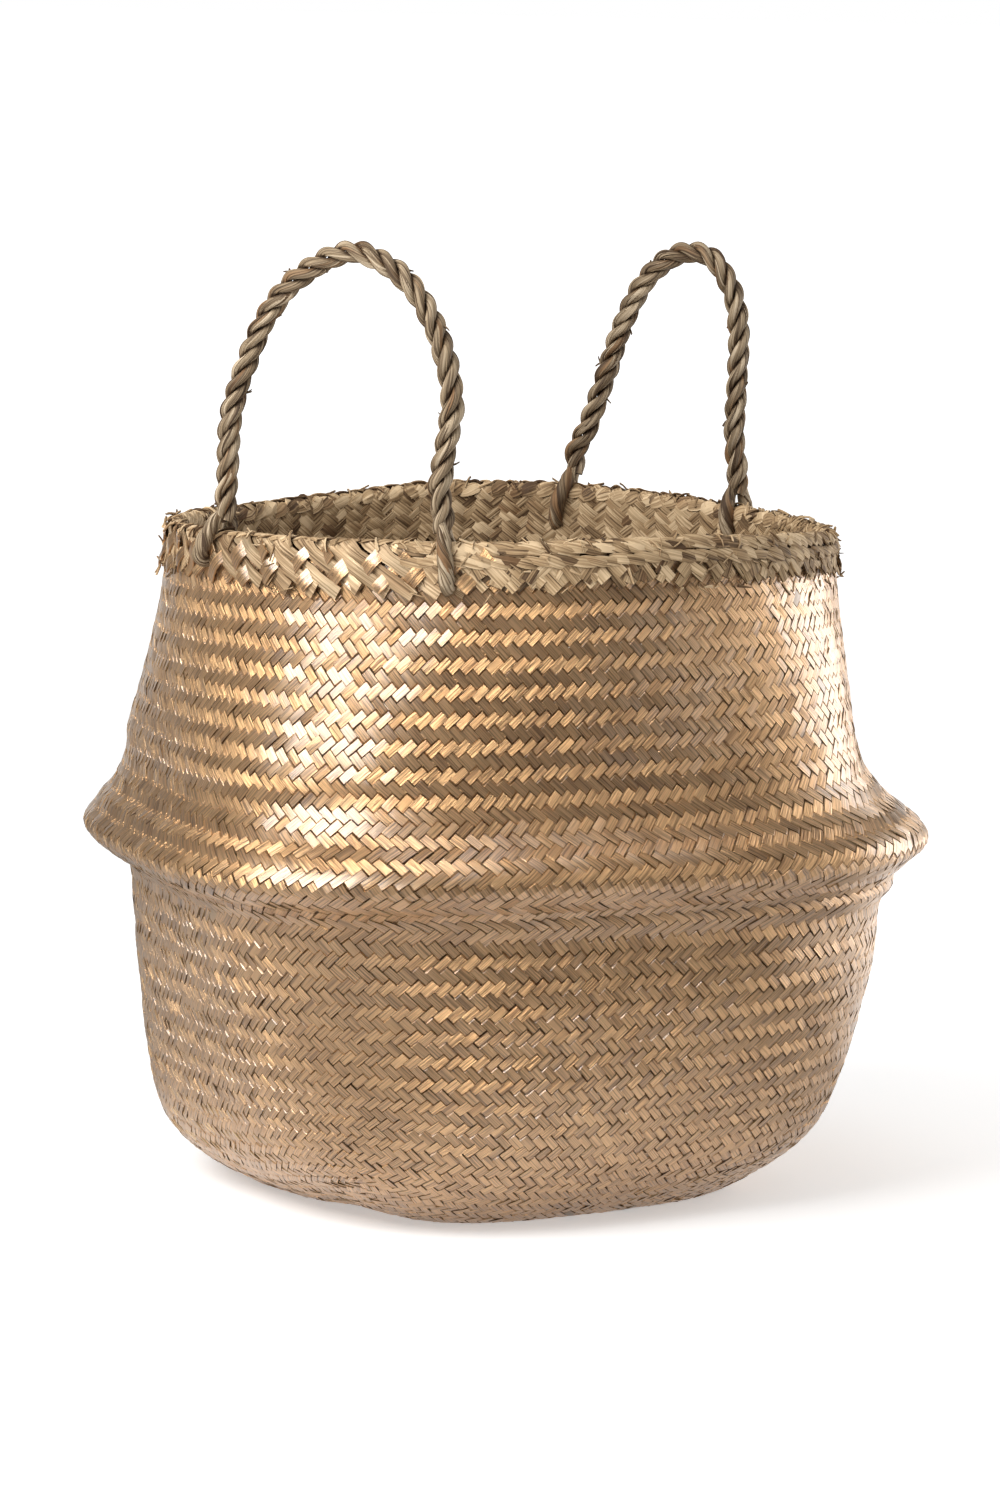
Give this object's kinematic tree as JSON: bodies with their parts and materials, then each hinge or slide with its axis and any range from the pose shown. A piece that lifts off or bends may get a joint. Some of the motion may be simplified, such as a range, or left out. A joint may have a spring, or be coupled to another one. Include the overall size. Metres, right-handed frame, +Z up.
{
  "type": "belly basket",
  "caption": "Round-bellied basket plaited from gold-painted seagrass, with a turned-down raw border round its open mouth and a twisted rope handle on each side.",
  "frame": {"origin": "on the floor, under the middle of the object's bounding box, which is the middle of the base", "axes": "+Z up along the basket's axis, -Y towards the front handle, +X to the right of somebody who faces the front handle"},
  "size_m": [0.4226, 0.4226, 0.4582],
  "materials": {
    "gold_weave": "flat seagrass strands plaited in a 2/2 twill, sprayed with a satin gold paint outside",
    "raw_seagrass": "matte unpainted seagrass strands, coarser, with cut ends",
    "seagrass_rope": "matte three-ply twisted seagrass rope, grey straw with brown flecks"
  },
  "bodies": {
    "lower_body": {"base_panel": "gold_weave", "bottom_turn": "gold_weave", "lower_wall": "gold_weave", "belly_fold": "gold_weave"},
    "upper_body": {"upper_wall": "gold_weave", "rim_outer_band": "raw_seagrass", "rim_inner_band": "raw_seagrass", "rim_braid": "raw_seagrass", "front_left_eye": "seagrass_rope", "front_right_eye": "seagrass_rope", "back_left_eye": "seagrass_rope", "back_right_eye": "seagrass_rope"},
    "front_handle": {"front_rope_ply_1": "seagrass_rope", "front_rope_ply_2": "seagrass_rope", "front_rope_ply_3": "seagrass_rope"},
    "back_handle": {"back_rope_ply_1": "seagrass_rope", "back_rope_ply_2": "seagrass_rope", "back_rope_ply_3": "seagrass_rope"}
  },
  "joints": [
    {"name": "belly_collapse", "type": "slide", "parent": "lower_body", "child": "upper_body", "axis": [0, 0, 1], "range_m": [-0.045, 0.012], "deforming": ["belly_fold"]},
    {"name": "front_handle_swing", "type": "hinge", "parent": "upper_body", "child": "front_handle", "pos_m": [0, -0.14574, 0.3345], "axis": [1, 0, 0], "range_deg": [-115, 115]},
    {"name": "back_handle_swing", "type": "hinge", "parent": "upper_body", "child": "back_handle", "pos_m": [0, 0.15017, 0.3345], "axis": [-1, 0, 0], "range_deg": [-115, 115]}
  ]
}
